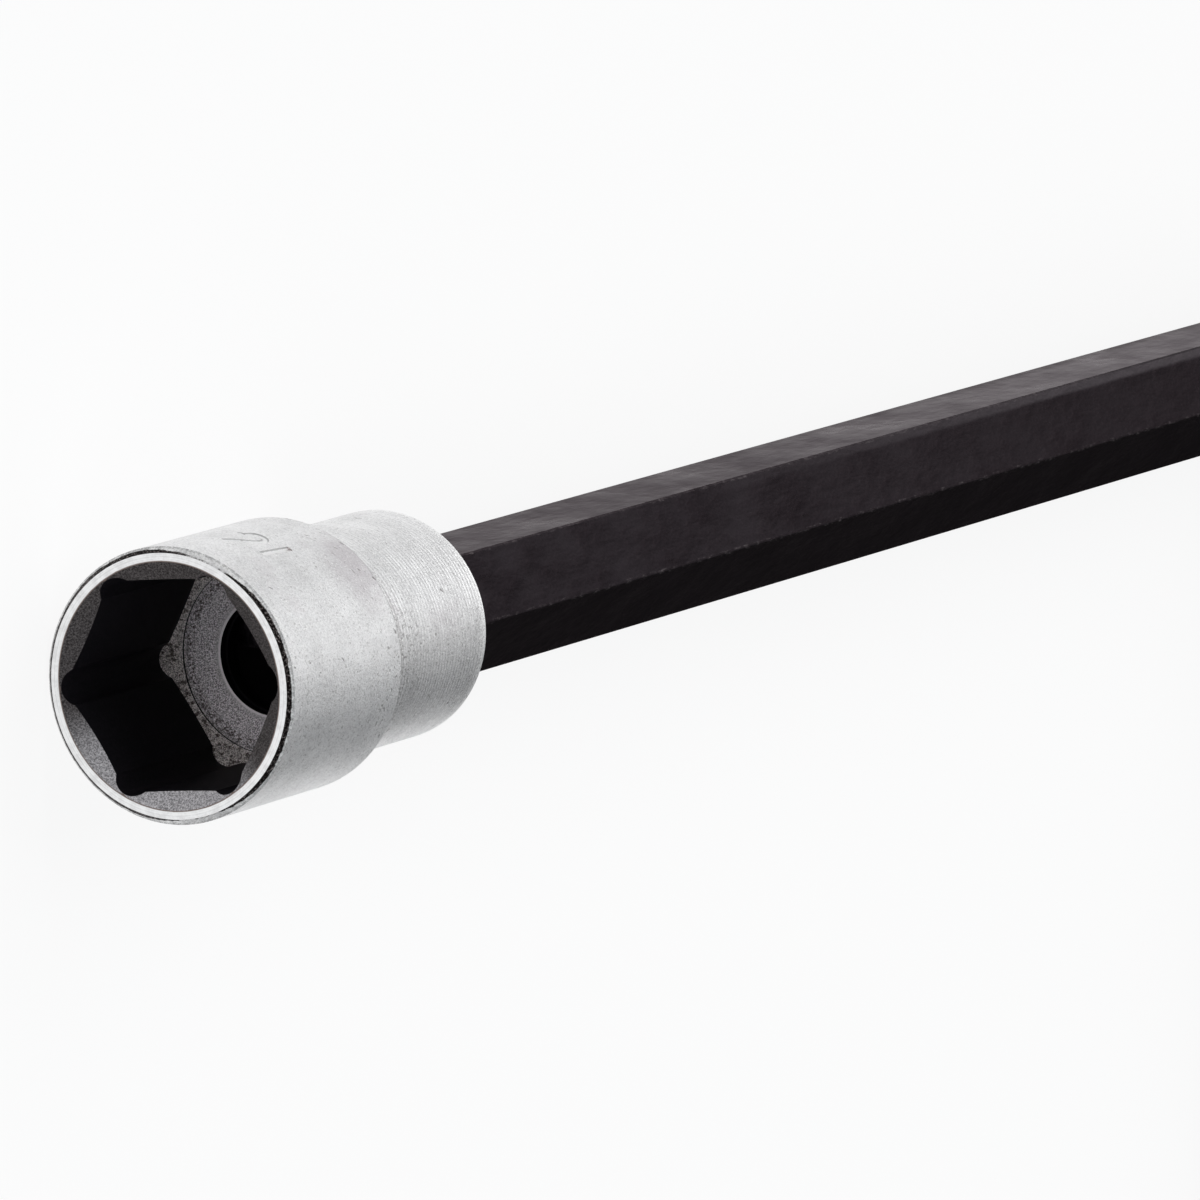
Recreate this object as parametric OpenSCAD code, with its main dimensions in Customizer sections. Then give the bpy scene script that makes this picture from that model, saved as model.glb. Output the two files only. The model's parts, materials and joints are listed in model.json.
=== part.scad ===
// Four-way lug wrench with a sliding cross bar, in millimetres.
// The main bar lies along X and the cross bar along Y, in one plane. The wrench lies flat on
// its heads, so the part stands on Z = 0 with the middle of the hub over the origin.

/* [Arms] */
// Length of each arm, from the middle of the hub to the end of its head
arm_l = 300; // [270:1:340]
// Distance across the flats of both hexagonal bars
bar_af = 13; // [12:0.25:13.5]
// Depth that is rounded off each corner of the bars
bar_corner_cut = 0.08; // [0.04:0.02:0.2]
// Chamfer on the ends of the bars
bar_end_bevel = 0.6; // [0.3:0.1:1]

/* [Heads] */
// Length of a whole socket head
head_l = 45; // [42:0.5:50]
// Length of the thicker front part of a socket head
front_l = 23; // [21:0.5:26]
// Diameter of the neck that grips the bar
neck_d = 23.6; // [22:0.2:24]
// Rounding of the rear edges of the front part and the neck
edge_round = 0.4; // [0.2:0.1:0.5]
// Chamfer round the outside of the mouth
rim_bevel = 0.6; // [0.3:0.1:0.8]
// Depth of the nut's hexagon, at its corners
nut_depth = 20; // [16:0.5:20.5]
// Depth at which the end of the bar sits in the head
bar_seat = 24.5; // [24:0.25:28]

/* [Nut sizes] */
// Across the flats of the largest nut
nut_21 = 21; // [20:0.5:21]
// Across the flats of the middle nut
nut_19 = 19; // [18:0.5:19]
// Across the flats of the smallest nut
nut_17 = 17; // [16:0.5:17]
// Room that a nut has across its flats
nut_room = 0.1; // [0.05:0.05:0.2]
// Outside diameter of the head for the largest nut
head_21_d = 27.8; // [27.4:0.2:30]
// Outside diameter of the head for the middle nut
head_19_d = 26; // [25:0.2:27]
// Outside diameter of the head for the smallest nut
head_17_d = 24.8; // [24.8:0.2:26]
// Turn of the largest hexagon against its bar, in degrees
turn_21 = -8.7; // [-30:0.1:30]
// Turn of the middle hexagon against its bar, in degrees
turn_19 = 6; // [-30:1:30]
// Turn of the smallest hexagon against its bar, in degrees
turn_17 = 3; // [-30:1:30]

/* [Socket floor] */
// Slope of the dished floor, in degrees
floor_slope = 14.4; // [8:0.2:18]
// Diameter of the hole in the middle of the floor
floor_hole_d = 12.2; // [10:0.2:12.4]
// Radius of the thin groove that a tool left in the floor
floor_groove_r = 9.9; // [9:0.1:9.9]
// Angle of the lead-in at the mouth, measured from the axis, in degrees
lead_angle = 61; // [45:1:70]

/* [Square drive] */
// Width of the drive square
drive_w = 12.7; // [12.5:0.1:12.7]
// Length of the drive square
drive_l = 16; // [14:0.5:17]
// Diameter of the ball in the drive square
drive_ball_d = 5; // [4.5:0.1:5.2]
// Height that the ball stands out of the square
drive_ball_out = 1; // [0.8:0.1:1.2]

/* [Hub] */
// Half the length of the hub along each bar
hub_half = 26; // [25:0.5:28]
// Diameter of the round body in the middle of the hub
hub_d = 36; // [34:0.5:38]
// Height of the round body in the middle of the hub
hub_h = 24.4; // [24:0.2:26]
// Distance of the floors of the half bars' pockets from the middle of the hub
pocket_floor = 10; // [9.5:0.5:12]
// Diameter of the spring pins that hold the half bars
pin_d = 4; // [3:0.5:5]
// Distance of the spring pins from the ends of the hub
pin_in = 5.4; // [4.4:0.2:6]

/* [Detent] */
// Diameter of the ball that finds the middle of the cross bar
ball_d = 4.5; // [4:0.1:4.8]
// Diameter of the grub screw over the ball
screw_d = 6; // [5.5:0.5:7]
// Length of the grub screw
screw_l = 3.2; // [2.5:0.1:3.6]
// Height of the top of the detent boss above the middle of the bars
boss_top = 18; // [17.6:0.2:20]
// Diameter of the detent boss
boss_d = 13; // [12:0.5:15]
// Depth of the dimple in the cross bar
dimple_depth = 0.6; // [0.4:0.1:0.8]

/* [Hidden] */
$fn = 96;
// How far a cut runs past the face that it opens
over = 0.2;
// Gap on each side of a pressed hexagon or pin, left so that the solids do not overlap
press_gap = 0.03;
// Gap on each side of the cross bar in the hub
slide_gap = 0.06;
// Gap round a ball in its hole
ball_gap = 0.05;
// Gap between the end of a bar and the seat that it stops on
end_gap = 0.05;

// Turn of the bars about their own axes: the main bar has corners on top, the cross bar a flat
main_turn = 0;
cross_turn = 30;

// Sizes that the dimensions above decide
axis_z = head_21_d / 2;
bar_r = bar_af / sqrt(3) - bar_corner_cut;
neck_r = neck_d / 2;
travel_gap = 0.1;
travel = arm_l - head_l - hub_half - travel_gap;
pin_at = hub_half - pin_in;

// Radius of the round relief in each corner of a nut's hexagon
relief_r = 2;
// How far that relief reaches past the hexagon's corner
relief_past = 0.1;
// How far the lead-in reaches past the relief
lead_past = 0.12;
// Width and depth of the groove in the floor
groove_w = 0.4;
groove_depth = 0.3;
// Depth of the floor's hole down to its ledge, and the width of the ledge
ledge_depth = 1;
ledge_w = 0.25;

// Chamfer on the end of the square, and how far its long edges are turned down
drive_end_bevel = 1;
drive_edge_cut = 0.6;
// Distance of the ball from the end of the square
drive_ball_at = 8;
// Depth of the ball's hole below the middle of the square
drive_hole_below = 3.6;
// Height of the staked lip that keeps the ball in
lip_h = 0.45;
drive_ball_r = drive_ball_d / 2;
drive_ball_x = drive_w / 2 + drive_ball_out - drive_ball_r;

// Chamfers on the hub's body, necks, boss and bar holes
hub_bevel = 1.6;
neck_bevel = 0.7;
boss_bevel = 0.5;
hole_bevel = 0.5;
pocket_depth = hub_half - pocket_floor;

// Spring pin: wall, slot, how far it lies below the surface, and the chamfer on its ends
pin_wall = 0.8;
pin_slot = 0.8;
pin_sunk = 0.4;
pin_bevel = 0.3;
pin_l = neck_d - 2 * pin_sunk;

ball_r = ball_d / 2;
// Height of the ball above the bar's upper flat, and of the screw below the top of the boss
ball_clear = 0.03;
screw_sunk = 0.6;
ball_z = bar_af / 2 + ball_clear + ball_r;
screw_top = boss_top - screw_sunk;
screw_bottom = screw_top - screw_l;
// Hexagon in the grub screw, its depth, and the chamfer on the screw's ends
key_af = 3;
key_depth = 1.8;
screw_bevel = 0.4;
// How much larger the dimple's radius is than the ball's
dimple_extra_r = 0.15;

// Springs: wire, curls, gap at each end, and the gap to the hole that they stand in
wire_d = 0.4;
detent_curls = 3;
drive_curls = 5;
spring_end_gap = 0.05;
spring_side_gap = 0.2;
// Rings in each curl of a spring, and corners of its wire
ring_n = 8;
wire_n = 6;

// Puts what is drawn along +Z from the end of a head onto one of the four arms
module on_arm(turn)
    translate([0, 0, axis_z]) rotate([0, 0, turn])
    translate([-arm_l, 0, 0]) rotate([0, 90, 0]) children();

// Hexagonal prism along Z, measured across its flats
module hex_prism(af, h)
    cylinder(r = af / sqrt(3), h = h, $fn = 6);

// Outline of a plain turned step whose far outer edge is rounded
module turned_step(r, l, round_r)
    difference() {
        square([r, l]);
        translate([r - round_r, l - round_r]) difference() {
            square(round_r + over);
            circle(r = round_r);
        }
    }

// Cylinder along Z from 0 to h with a chamfer on both ends
module bevelled_rod(r, h, bevel)
    rotate_extrude() polygon([[0, 0], [r - bevel, 0], [r, bevel], [r, h - bevel],
                              [r - bevel, h], [0, h]]);

// Countersink that opens a hole of radius r at Z = 0 towards -Z
module countersink(r, bevel)
    translate([0, 0, -over])
    cylinder(r1 = r + bevel + over, r2 = r, h = bevel + over);

// Hexagonal bar along Z: the corners and the ends are turned down
module hex_bar(l)
    intersection() {
        hex_prism(bar_af, l);
        bevelled_rod(bar_r, l, bar_end_bevel);
    }

// Pocket for a bar, from the seat to the rear face of a head
module bar_pocket() {
    pocket_af = bar_af + 2 * press_gap;
    translate([0, 0, bar_seat]) hex_prism(pocket_af, head_l - bar_seat + over);
    translate([0, 0, head_l]) mirror([0, 0, 1]) countersink(bar_r, hole_bevel);
}

// Room for a nut: the hexagon with its relieved corners, down to the dished floor
module nut_room_shape(af) {
    corner_r = af / sqrt(3);
    reach_r = corner_r + relief_past;
    floor_drop = reach_r * tan(floor_slope);
    intersection() {
        translate([0, 0, -over]) union() {
            hex_prism(af, nut_depth + floor_drop + over);
            for (i = [0:5]) rotate(i * 60) translate([reach_r - relief_r, 0, 0])
                cylinder(r = relief_r, h = nut_depth + floor_drop + over);
        }
        rotate_extrude() polygon([[0, -over], [reach_r + over, -over],
                                  [reach_r + over, nut_depth], [reach_r, nut_depth],
                                  [0, nut_depth + floor_drop]]);
    }
}

// Depth of the dished floor at radius r
function floor_z(af, r) = nut_depth + (af / sqrt(3) + relief_past - r) * tan(floor_slope);

// Socket head along +Z, mouth at 0: nut hexagon in front, bar pocket behind
module socket_head(nut, d, turn, bar_turn) {
    af = nut + nut_room;
    lead_r = af / sqrt(3) + relief_past + lead_past;
    lead_h = (lead_r - af / 3) / tan(lead_angle);
    hole_r = floor_hole_d / 2;
    groove_r = floor_groove_r * nut / nut_21;
    ledge_z = floor_z(af, hole_r) + ledge_depth;
    difference() {
        rotate_extrude() difference() {
            union() {
                turned_step(d / 2, front_l, edge_round);
                turned_step(neck_r, head_l, edge_round);
            }
            polygon([[d / 2 - rim_bevel - over, -over], [d / 2 + over, -over],
                     [d / 2 + over, rim_bevel + over]]);
        }
        rotate(bar_turn + turn) nut_room_shape(af);
        translate([0, 0, -over])
            cylinder(r1 = lead_r + over * tan(lead_angle), r2 = af / 3, h = lead_h + over);
        translate([0, 0, floor_z(af, groove_r) - over]) rotate_extrude()
            translate([groove_r - groove_w, 0]) square([groove_w, over + groove_depth]);
        translate([0, 0, nut_depth]) cylinder(r = hole_r, h = ledge_z - nut_depth);
        translate([0, 0, nut_depth]) cylinder(r = hole_r - ledge_w, h = bar_seat - nut_depth + over);
        rotate(bar_turn) bar_pocket();
    }
}

// Drive square along +Z, end at 0, with chamfered end and turned edges
module drive_square(l) {
    half = drive_w / 2;
    outline = [[-half, l], [-half, drive_end_bevel], [drive_end_bevel - half, 0],
               [half - drive_end_bevel, 0], [half, drive_end_bevel], [half, l]];
    intersection() {
        rotate([90, 0, 0]) linear_extrude(drive_w, center = true) polygon(outline);
        rotate([90, 0, 90]) linear_extrude(drive_w, center = true) polygon(outline);
        cylinder(r = drive_w / sqrt(2) - drive_edge_cut, h = l);
    }
}

// Hole for the sprung ball, open towards +Z, with the lip that keeps the ball in
module ball_hole() {
    hole_r = drive_ball_r + ball_gap;
    face = drive_w / 2;
    lip_r = sqrt(pow(drive_ball_r, 2) - pow(face - drive_ball_x, 2)) + 2 * ball_gap;
    rotate_extrude() polygon([[0, -drive_hole_below], [hole_r, -drive_hole_below],
                              [hole_r, face - lip_h], [lip_r, face], [lip_r, face + over],
                              [0, face + over]]);
}

// Spring along Z: one unbroken wire wound as a helix, from z = 0 to l
module coil_spring(outer_r, l, curls) {
    coil_r = outer_r - wire_d / 2;
    rise = (l - wire_d) / (curls * ring_n);
    last = curls * ring_n;
    points = [for (i = [0:last]) for (j = [0:wire_n - 1])
        let (a = i * 360 / ring_n, b = j * 360 / wire_n, r = coil_r + wire_d / 2 * cos(b))
        [r * cos(a), r * sin(a), wire_d / 2 + i * rise + wire_d / 2 * sin(b)]];
    sides = [for (i = [0:last - 1]) for (j = [0:wire_n - 1])
        let (k = (j + 1) % wire_n, p = i * wire_n, q = p + wire_n)
        each [[p + j, q + j, q + k], [p + j, q + k, p + k]]];
    ends = [for (j = [1:wire_n - 2]) each [[0, j, j + 1],
        [last * wire_n, last * wire_n + j + 1, last * wire_n + j]]];
    polyhedron(points = points, faces = concat(sides, ends));
}

module socket_21()
    color([0.78, 0.78, 0.79]) on_arm(0)
    socket_head(nut_21, head_21_d, turn_21, main_turn);

module socket_19()
    color([0.78, 0.78, 0.79]) on_arm(180)
    socket_head(nut_19, head_19_d, turn_19, main_turn);

module socket_17()
    color([0.78, 0.78, 0.79]) on_arm(90)
    socket_head(nut_17, head_17_d, turn_17, cross_turn);

// Head with the drive square; its ball is on top
module drive_head()
    color([0.78, 0.78, 0.79]) on_arm(270) difference() {
        union() {
            drive_square(drive_l + over);
            translate([0, 0, drive_l]) rotate_extrude() difference() {
                turned_step(neck_r, head_l - drive_l, edge_round);
                polygon([[neck_r - rim_bevel - over, -over], [neck_r + over, -over],
                         [neck_r + over, rim_bevel + over]]);
            }
        }
        translate([0, 0, drive_ball_at]) rotate([0, -90, 0]) ball_hole();
        rotate(cross_turn) bar_pocket();
    }

module drive_ball()
    color([0.6, 0.6, 0.62]) on_arm(270)
    translate([-drive_ball_x, 0, drive_ball_at]) sphere(r = drive_ball_r);

module drive_spring()
    color([0.5, 0.5, 0.52]) on_arm(270) translate([0, 0, drive_ball_at]) rotate([0, -90, 0])
    translate([0, 0, spring_end_gap - drive_hole_below])
    coil_spring(drive_ball_r - spring_side_gap,
                drive_ball_x - drive_ball_r + drive_hole_below - 2 * spring_end_gap, drive_curls);

// Half bar from the seat in its socket to the floor of its pocket in the hub
module half_bar(arm_turn)
    on_arm(arm_turn) difference() {
        translate([0, 0, bar_seat + end_gap])
            hex_bar(arm_l - bar_seat - pocket_floor - 2 * end_gap);
        translate([0, 0, arm_l - pin_at]) rotate([90, 0, 0])
            cylinder(d = pin_d + 2 * press_gap, h = 2 * bar_af, center = true);
    }

module main_bar_21() color([0.13, 0.12, 0.13]) half_bar(0);

module main_bar_19() color([0.13, 0.12, 0.13]) half_bar(180);

// Sliding bar with one flat upwards, and the dimple for the ball in that flat
module cross_bar()
    color([0.13, 0.12, 0.13]) difference() {
        on_arm(90) translate([0, 0, bar_seat + end_gap]) rotate(cross_turn)
            hex_bar(2 * (arm_l - bar_seat - end_gap));
        translate([0, 0, axis_z + bar_af / 2 + ball_r + dimple_extra_r - dimple_depth])
            sphere(r = ball_r + dimple_extra_r);
    }

// Bare hub, centred on the crossing of the bars
module hub_outside() {
    translate([0, 0, -hub_h / 2]) bevelled_rod(hub_d / 2, hub_h, hub_bevel);
    for (a = [0, 90]) rotate(a) rotate([0, 90, 0]) translate([0, 0, -hub_half])
        bevelled_rod(neck_r, 2 * hub_half, neck_bevel);
    bevelled_rod(boss_d / 2, boss_top, boss_bevel);
}

module hub_block()
    color([0.78, 0.78, 0.79]) translate([0, 0, axis_z]) difference() {
        hub_outside();
        rotate([90, 0, 0]) translate([0, 0, -hub_half - over])
            hex_prism(bar_af + 2 * slide_gap, 2 * (hub_half + over));
        for (a = [90, 270]) rotate(a) rotate([0, 90, 0]) translate([0, 0, -hub_half])
            countersink(bar_r, hole_bevel);
        for (a = [0, 180]) rotate(a) rotate([0, 90, 0]) {
            translate([0, 0, pocket_floor]) hex_prism(bar_af + 2 * press_gap, pocket_depth + over);
            translate([0, 0, hub_half]) mirror([0, 0, 1]) countersink(bar_r, hole_bevel);
            translate([0, 0, pin_at]) rotate([90, 0, 0])
                cylinder(d = pin_d + 2 * press_gap, h = neck_d + 2 * over, center = true);
        }
        cylinder(r = ball_r + ball_gap, h = boss_top);
        translate([0, 0, screw_bottom - end_gap])
            cylinder(r = screw_d / 2 + ball_gap, h = boss_top - screw_bottom + end_gap + over);
    }

// Slotted spring pin along Y
module spring_pin(x)
    color([0.5, 0.5, 0.52]) translate([x, pin_l / 2, axis_z]) rotate([90, 0, 0])
    difference() {
        bevelled_rod(pin_d / 2, pin_l, pin_bevel);
        translate([0, 0, -over]) cylinder(r = pin_d / 2 - pin_wall, h = pin_l + 2 * over);
        translate([0, -pin_slot / 2, -over]) cube([pin_d, pin_slot, pin_l + 2 * over]);
    }

module hub_pin_21() spring_pin(-pin_at);

module hub_pin_19() spring_pin(pin_at);

module detent_ball()
    color([0.6, 0.6, 0.62]) translate([0, 0, axis_z + ball_z]) sphere(r = ball_r);

module detent_spring()
    color([0.5, 0.5, 0.52]) translate([0, 0, axis_z + ball_z + ball_r + spring_end_gap])
    coil_spring(ball_r - spring_side_gap, screw_bottom - ball_z - ball_r - 2 * spring_end_gap,
                detent_curls);

// Grub screw with a hexagon for its key
module detent_screw()
    color([0.2, 0.2, 0.21]) translate([0, 0, axis_z + screw_bottom]) difference() {
        bevelled_rod(screw_d / 2, screw_l, screw_bevel);
        translate([0, 0, screw_l - key_depth]) hex_prism(key_af, key_depth + over);
    }

echo(travel = travel, bar_r = bar_r, ball_z = axis_z + ball_z, axis_z = axis_z,
     detent_gap = (screw_bottom - ball_z - ball_r - 2 * spring_end_gap - wire_d) / detent_curls
         - wire_d,
     drive_gap = (drive_ball_x - drive_ball_r + drive_hole_below - 2 * spring_end_gap - wire_d)
         / drive_curls - wire_d);

hub_block();
main_bar_21();
main_bar_19();
hub_pin_21();
hub_pin_19();
cross_bar();
socket_21();
socket_19();
socket_17();
drive_head();
drive_ball();
drive_spring();
detent_ball();
detent_spring();
detent_screw();
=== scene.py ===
# %% [markdown]
# A four-way lug wrench is two bars that cross in a hub, with a socket or a drive square on each
# of their four ends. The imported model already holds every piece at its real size, so this
# script only dresses it: it loads the pieces, sets up a small studio, presses the size numbers
# into the sockets, and gives each surface the finish that it has on the real tool.

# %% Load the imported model
import json
import math

import bmesh
import bpy
from mathutils import Matrix, Vector

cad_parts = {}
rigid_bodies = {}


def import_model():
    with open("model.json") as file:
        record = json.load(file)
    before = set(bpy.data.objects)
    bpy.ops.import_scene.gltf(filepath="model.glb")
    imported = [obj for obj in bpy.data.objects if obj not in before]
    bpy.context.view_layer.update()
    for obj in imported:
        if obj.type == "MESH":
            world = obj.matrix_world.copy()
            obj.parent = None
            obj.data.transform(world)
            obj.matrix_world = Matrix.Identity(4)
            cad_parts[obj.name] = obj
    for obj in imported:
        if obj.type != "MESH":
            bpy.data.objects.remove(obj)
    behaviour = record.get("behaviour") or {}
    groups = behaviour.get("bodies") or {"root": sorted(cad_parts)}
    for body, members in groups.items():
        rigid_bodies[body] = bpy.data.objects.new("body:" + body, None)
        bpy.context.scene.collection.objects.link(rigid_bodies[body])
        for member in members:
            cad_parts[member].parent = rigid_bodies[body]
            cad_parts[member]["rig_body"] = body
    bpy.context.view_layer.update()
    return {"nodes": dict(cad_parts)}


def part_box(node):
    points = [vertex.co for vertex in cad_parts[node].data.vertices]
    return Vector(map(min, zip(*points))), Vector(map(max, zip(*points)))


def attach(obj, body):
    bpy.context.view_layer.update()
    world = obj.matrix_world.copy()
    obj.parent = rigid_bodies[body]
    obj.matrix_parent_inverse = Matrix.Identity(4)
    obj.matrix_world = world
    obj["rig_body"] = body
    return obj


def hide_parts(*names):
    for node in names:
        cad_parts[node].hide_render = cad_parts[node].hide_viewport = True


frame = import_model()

nodes = frame["nodes"]

# %% [markdown]
# Most sizes are read from the frame, because then nothing here can drift away from the model.
# The largest socket gives the height of the bars' axis and the reach of the arms. Each head is
# described in the frame of its own arm: s runs from the mouth towards the hub, y lies across
# the arm in the plane of the cross, and z points up.

# %% Sizes of the wrench
MM = 0.001
low_21, high_21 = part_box("socket_21")
AXIS_Z = (low_21.z + high_21.z) / 2
ARM_L = -low_21.x
ARM_TURNS = {
    "socket_21": 0.0,
    "socket_17": math.radians(90),
    "socket_19": math.radians(180),
    "drive_head": math.radians(270),
}


def arm_matrix(turn):
    """Takes a point given as (s, y, z) on one arm to its place in the model."""
    to_axis = Matrix.Translation((0, 0, AXIS_Z))
    to_mouth = Matrix.Translation((-ARM_L, 0, 0))
    return to_axis @ Matrix.Rotation(turn, 4, "Z") @ to_mouth


print(f"arm {ARM_L / MM:.1f} mm, axis {AXIS_Z / MM:.2f} mm above the floor")

# %% [markdown]
# The camera stands where the photographer's did. It is far away and uses a very long lens, so
# the bar hardly gets smaller with distance. The offset from the mouth of the largest socket
# and the two axes of the picture come from a fit to the socket's rings and the bar's edges.

# %% Camera
CAMERA_FROM_MOUTH = Vector((-1107.7, 241.2, 606.5)) * MM
PICTURE_RIGHT = Vector((0.4590, 0.0545, 0.8868))
PICTURE_UP = Vector((0.1349, 0.9823, -0.1302))
PICTURE_PX = 1200
FOCAL_PX = 13030
SENSOR_MM = 36

camera_data = bpy.data.cameras.new("camera")
camera_data.sensor_width = SENSOR_MM
camera_data.lens = FOCAL_PX / PICTURE_PX * SENSOR_MM
camera_data.clip_start = 0.05
camera_data.clip_end = 100
camera = bpy.data.objects.new("camera", camera_data)
bpy.context.scene.collection.objects.link(camera)
right = PICTURE_RIGHT.normalized()
back = right.cross(PICTURE_UP).normalized()
up = back.cross(right)
turn_matrix = Matrix((right, up, back)).transposed().to_4x4()
mouth_21 = arm_matrix(0) @ Vector((0, 0, 0))
camera.matrix_world = Matrix.Translation(mouth_21 + CAMERA_FROM_MOUTH) @ turn_matrix
bpy.context.scene.camera = camera
print(f"lens {camera_data.lens:.0f} mm, camera at {tuple(round(v, 3) for v in camera.location)}")

# %% [markdown]
# A material is built from a handful of nodes that are wired again and again, so the wiring has
# its own small helpers: one adds a node and fills its sockets, others do the sums and add the
# usual patterns. Every pattern reads Object coordinates in millimetres. A CAD piece keeps its
# place in its mesh, so these coordinates are also the coordinates of the model.

# %% Helpers for nodes


def set_inputs(tree, node, inputs):
    """Fills sockets with a number, a colour or the output socket of another node."""
    for key, value in inputs.items():
        if isinstance(value, bpy.types.NodeSocket):
            tree.links.new(value, node.inputs[key])
        else:
            node.inputs[key].default_value = value


def add_node(tree, kind, inputs=None, **settings):
    """Adds one node with its settings and inputs."""
    node = tree.nodes.new(kind)
    for name, value in settings.items():
        setattr(node, name, value)
    set_inputs(tree, node, inputs or {})
    return node


def calc(tree, operation, first, second):
    """One sum on two values."""
    return add_node(tree, "ShaderNodeMath", {0: first, 1: second},
                    operation=operation).outputs[0]


def times(tree, first, second):
    """The product of two values."""
    return calc(tree, "MULTIPLY", first, second)


def plus(tree, first, second):
    """The sum of two values."""
    return calc(tree, "ADD", first, second)


def larger(tree, first, second):
    """The larger of two values."""
    return calc(tree, "MAXIMUM", first, second)


def vector_calc(tree, operation, first, second):
    """One sum on two vectors; gives back the node's outputs."""
    return add_node(tree, "ShaderNodeVectorMath", {0: first, 1: second},
                    operation=operation).outputs


def stretched(tree, place, factors):
    """The same coordinates with each axis multiplied by its own factor."""
    return vector_calc(tree, "MULTIPLY", place, factors)[0]


def ramp(tree, value, low, high, to_low=0.0, to_high=1.0, smooth=True):
    """Maps low..high of a value to to_low..to_high, and holds it outside them."""
    kind = "SMOOTHSTEP" if smooth else "LINEAR"
    return add_node(tree, "ShaderNodeMapRange", {"Value": value, "From Min": low,
                    "From Max": high, "To Min": to_low, "To Max": to_high},
                    interpolation_type=kind).outputs["Result"]


def noise(tree, place, scale, detail=2.0, roughness=0.5):
    """Soft random values from 0 to 1."""
    return add_node(tree, "ShaderNodeTexNoise", {"Vector": place, "Scale": scale,
                    "Detail": detail, "Roughness": roughness}).outputs["Fac"]


def mixed(tree, share, first, second):
    """A colour between two others."""
    return add_node(tree, "ShaderNodeMix", {"Factor": share, "A": first, "B": second},
                    data_type="RGBA").outputs["Result"]


def grey(value):
    """A plain grey, as a colour with alpha."""
    return (value, value, value, 1.0)


def bumped(tree, height, distance, onto=None):
    """A normal that follows a height in millimetres times distance."""
    inputs = {"Height": height, "Distance": distance * MM, "Strength": 1.0}
    if onto is not None:
        inputs["Normal"] = onto
    return add_node(tree, "ShaderNodeBump", inputs).outputs["Normal"]


def new_material(name):
    """An empty material; returns the material, its nodes and its shader."""
    material = bpy.data.materials.new(name)
    material.use_nodes = True
    tree = material.node_tree
    shader = tree.nodes["Principled BSDF"]
    return material, tree, shader


print("node helpers ready")

# %% [markdown]
# Most finishes here follow their own arm: rings run round it, and dirt lies at one distance
# from its mouth. So the coordinates are first turned into the arm's frame. Where a finish
# changes round the axis, it is mixed by the direction of a point seen from the axis: a dot
# product with the middle of the part that differs. In all finishes, lengths are in
# millimetres and these directions in degrees.

# %% Helpers for places on an arm


def arm_coordinates(tree, turn):
    """Object coordinates in millimetres as (s, y, z) of an arm: X is 0 at its mouth."""
    place = add_node(tree, "ShaderNodeTexCoord").outputs["Object"]
    in_mm = add_node(tree, "ShaderNodeVectorMath", {0: place, "Scale": 1 / MM},
                     operation="SCALE").outputs[0]
    from_height = vector_calc(tree, "SUBTRACT", in_mm, (0, 0, AXIS_Z / MM))[0]
    turned = add_node(tree, "ShaderNodeVectorRotate", {"Vector": from_height, "Angle": -turn},
                      rotation_type="Z_AXIS").outputs[0]
    return vector_calc(tree, "ADD", turned, (ARM_L / MM, 0, 0))[0]


def along_arm(tree, place):
    """The distance in millimetres from the mouth."""
    return add_node(tree, "ShaderNodeSeparateXYZ", {0: place}).outputs["X"]


def from_axis(tree, place):
    """The distance in millimetres of a point from the arm's own axis."""
    flat = stretched(tree, place, (0, 1, 1))
    return add_node(tree, "ShaderNodeVectorMath", {0: flat}, operation="LENGTH").outputs["Value"]


def direction_share(tree, place, middle, half_width, fade):
    """1 near a direction round the axis, measured from Y towards Z, and 0 away from it. It is
    a half at half_width on either side, and changes over fade on both sides of that."""
    flat = stretched(tree, place, (0, 1, 1))
    unit = add_node(tree, "ShaderNodeVectorMath", {0: flat}, operation="NORMALIZE").outputs[0]
    middle = math.radians(middle)
    toward = vector_calc(tree, "DOT_PRODUCT", unit, (0, math.cos(middle), math.sin(middle)))
    outer = math.cos(math.radians(half_width + fade))
    inner = math.cos(math.radians(half_width - fade))
    return ramp(tree, toward["Value"], outer, inner)


print("arm helpers ready")

# %% [markdown]
# The heads are satin chrome: the steel was blasted before plating, so its skin is a fine, even
# grain that spreads the light and glints here and there. Use has left dark specks, small pits,
# short nicks and a faint violet stain, and the nicks gather near a head's edges, where it hits
# other things. All of it is made of noises: a bump for the grain, and for the marks the peaks
# of a noise, cut off high so that only separate specks stay. A stretched noise gives nicks
# that look like scratches.

# %% Marks of use on chrome
NICK_COLOUR = (0.16, 0.14, 0.14, 1.0)
PIT_SCALE = 1.3
PIT_SHARE = 0.64
NICKS = ({"lean": 0.9, "scale": 1.6, "cut": 0.765}, {"lean": 2.3, "scale": 2.2, "cut": 0.775})
EDGE_NICKS = {"lean": 1.5, "scale": 1.9, "cut": 0.69}


def pits(tree, place):
    """Small separate pits: 1 in the middle of a pit and 0 between them."""
    cells = add_node(tree, "ShaderNodeTexVoronoi", {"Vector": place, "Scale": PIT_SCALE,
                     "Randomness": 1.0}, feature="F1")
    clusters = noise(tree, place, PIT_SCALE * 0.37, 2.0)
    reach = ramp(tree, clusters, PIT_SHARE, PIT_SHARE + 0.15, 0.0, 0.32)
    inside = calc(tree, "SUBTRACT", reach, cells.outputs["Distance"])
    return ramp(tree, inside, 0.0, 0.10)


def scratches(tree, place, lean, scale, cut):
    """Short straight marks that lie at an angle to the arm."""
    leant = add_node(tree, "ShaderNodeVectorRotate", {"Vector": place, "Axis": (1, 1, 1),
                     "Angle": lean}).outputs[0]
    peaks = noise(tree, stretched(tree, leant, (0.22, 1.0, 1.0)), scale, 1.0)
    return ramp(tree, peaks, cut, cut + 0.03)


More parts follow.
